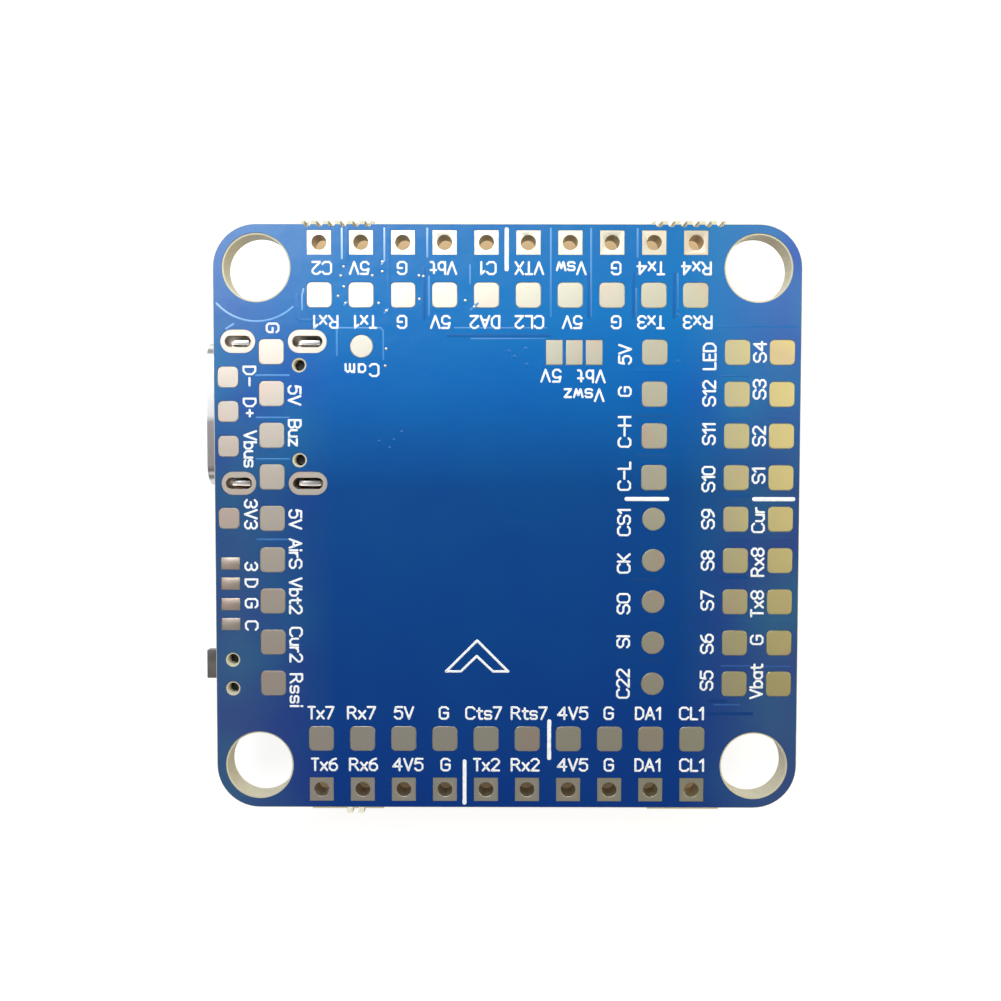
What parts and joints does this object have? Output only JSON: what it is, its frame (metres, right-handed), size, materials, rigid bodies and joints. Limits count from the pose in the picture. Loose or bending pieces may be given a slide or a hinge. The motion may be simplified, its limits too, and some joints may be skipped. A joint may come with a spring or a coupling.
{
  "type": "flight controller board",
  "caption": "Square autopilot circuit board for a small multirotor, with rows of solder pads and wire holes, corner mounting holes, plug sockets and a side-push boot button.",
  "frame": {"origin": "middle of the four mounting holes, on the solder-pad face of the laminate", "axes": "+Z out of the solder-pad face, +Y in the direction of flight, +X to its right; the parts hang on the -Z side"},
  "size_m": [0.037, 0.0363, 0.005],
  "materials": {
    "glass_epoxy": "sawn and drilled glass-fibre laminate",
    "blue_mask": "glossy blue solder mask",
    "tinned_copper": "satin tin-lead levelled copper",
    "stamped_steel": "satin nickel-plated stamped steel",
    "spring_steel": "bright spring steel",
    "gold_contact": "gold-plated copper alloy",
    "black_polymer": "matt black glass-filled polymer",
    "grey_polymer": "matt grey polymer",
    "cream_polymer": "satin cream nylon",
    "black_epoxy": "matt moulded epoxy",
    "green_substrate": "dark green package substrate",
    "solder": "bright solder",
    "tinned_lead": "satin tinned lead",
    "ferrite": "matt pressed iron powder",
    "tan_ceramic": "satin barium titanate ceramic",
    "dark_ceramic": "glazed resistor film on alumina",
    "crystal_ceramic": "matt brown alumina",
    "white_polymer": "matt white polymer",
    "clear_resin": "clear cast resin"
  },
  "bodies": {
    "board": {"laminate": "glass_epoxy", "pad_side_mask": "blue_mask", "part_side_mask": "blue_mask", "square_wire_pads": "tinned_copper", "round_signal_pads": "tinned_copper", "edge_pads": "tinned_copper", "jumper_pads": "tinned_copper", "header_barrels": "tinned_copper", "anchor_barrels": "tinned_copper", "component_lands": "tinned_copper", "usb_shell": "stamped_steel", "usb_insulator": "black_polymer", "usb_contacts": "gold_contact", "usb_midplate": "stamped_steel", "switch_base": "black_polymer", "switch_cover": "stamped_steel", "switch_dome": "spring_steel", "switch_terminals": "tinned_lead", "card_cover": "stamped_steel", "card_tray": "black_polymer", "card_contacts": "gold_contact", "card_detect_contacts": "gold_contact", "esc_socket": "cream_polymer", "can_socket": "cream_polymer", "video_socket": "cream_polymer", "esc_contacts": "tinned_lead", "can_contacts": "tinned_lead", "video_contacts": "tinned_lead", "socket_anchor_tabs": "tinned_lead", "processor_cap": "black_epoxy", "processor_substrate": "green_substrate", "processor_balls": "solder", "overlay_chip": "black_epoxy", "overlay_chip_leads": "tinned_lead", "motion_sensors": "black_epoxy", "pressure_sensor_base": "green_substrate", "pressure_sensor_lid": "stamped_steel", "can_transceiver": "black_epoxy", "can_transceiver_leads": "tinned_lead", "buck_regulator": "black_epoxy", "buck_regulator_leads": "tinned_lead", "inductor_core": "ferrite", "inductor_terminals": "tinned_lead", "linear_regulators": "black_epoxy", "linear_regulator_leads": "tinned_lead", "transistors": "black_epoxy", "transistor_leads": "tinned_lead", "crystal_bases": "crystal_ceramic", "crystal_lids": "stamped_steel", "status_led_bases": "white_polymer", "status_led_lenses": "clear_resin", "chip_resistors": "dark_ceramic", "chip_capacitors": "tan_ceramic", "chip_terminals": "tinned_lead", "power_capacitors": "tan_ceramic", "power_capacitor_terminals": "tinned_lead", "protection_diode": "black_epoxy", "protection_diode_terminals": "tinned_lead"},
    "button": {"switch_button": "grey_polymer"}
  },
  "joints": [
    {"name": "boot_press", "type": "slide", "parent": "board", "child": "button", "axis": [1, 0, 0], "range_m": [0, 0.0002], "stiffness_N_per_m": 6000, "springref_m": -0.0001}
  ]
}
